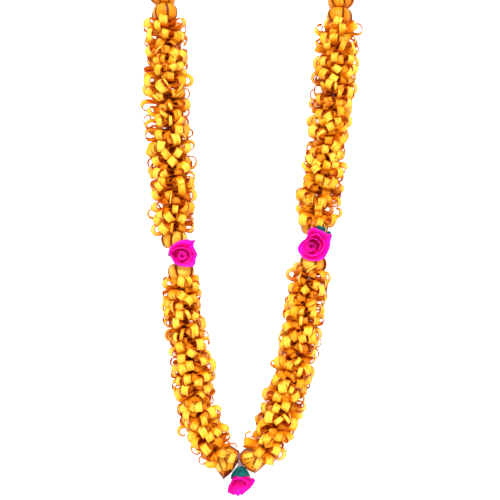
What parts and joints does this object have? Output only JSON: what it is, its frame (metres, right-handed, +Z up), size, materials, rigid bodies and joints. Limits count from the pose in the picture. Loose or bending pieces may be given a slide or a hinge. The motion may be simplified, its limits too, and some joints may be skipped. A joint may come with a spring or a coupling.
{
  "type": "sandalwood garland",
  "caption": "Long V-shaped garland of looped sandalwood shavings with round shaving puffs and cloth roses on one thread, laid flat.",
  "frame": {"origin": "bottom centre of the garland's box, on the surface that it lies on", "axes": "+Y along the garland from its foot towards the neck, +X to the viewer's right when seen from above, +Z up from the surface"},
  "size_m": [0.2143, 0.5883, 0.0463],
  "materials": {
    "shavings": "planed thin, satin",
    "puffs": "planed thin, satin",
    "petals": "soft, slightly glossy cloth",
    "calyxes": "soft cloth",
    "thread": "twisted cotton"
  },
  "bodies": {
    "root": {"garland_thread": "thread", "puff_foot_left": "puffs", "puff_foot_right": "puffs", "puff_neck_01": "puffs", "puff_neck_02": "puffs", "puff_neck_03": "puffs", "puff_neck_04": "puffs", "puff_neck_05": "puffs", "puff_neck_06": "puffs", "puff_neck_07": "puffs", "puff_neck_08": "puffs", "puff_neck_09": "puffs", "puff_neck_10": "puffs", "puff_neck_11": "puffs", "puff_neck_12": "puffs", "puff_neck_13": "puffs", "puff_neck_14": "puffs", "puff_neck_15": "puffs", "puff_neck_16": "puffs", "puff_neck_17": "puffs", "puff_neck_18": "puffs", "puff_over_rose_left": "puffs", "puff_over_rose_right": "puffs", "puff_under_rose_left": "puffs", "puff_under_rose_right": "puffs", "rose_foot_calyx": "calyxes", "rose_foot_petals": "petals", "rose_left_calyx": "calyxes", "rose_left_petals": "petals", "rose_right_calyx": "calyxes", "rose_right_petals": "petals", "shavings_lower_left": "shavings", "shavings_lower_right": "shavings", "shavings_upper_left": "shavings", "shavings_upper_right": "shavings"}
  },
  "joints": []
}
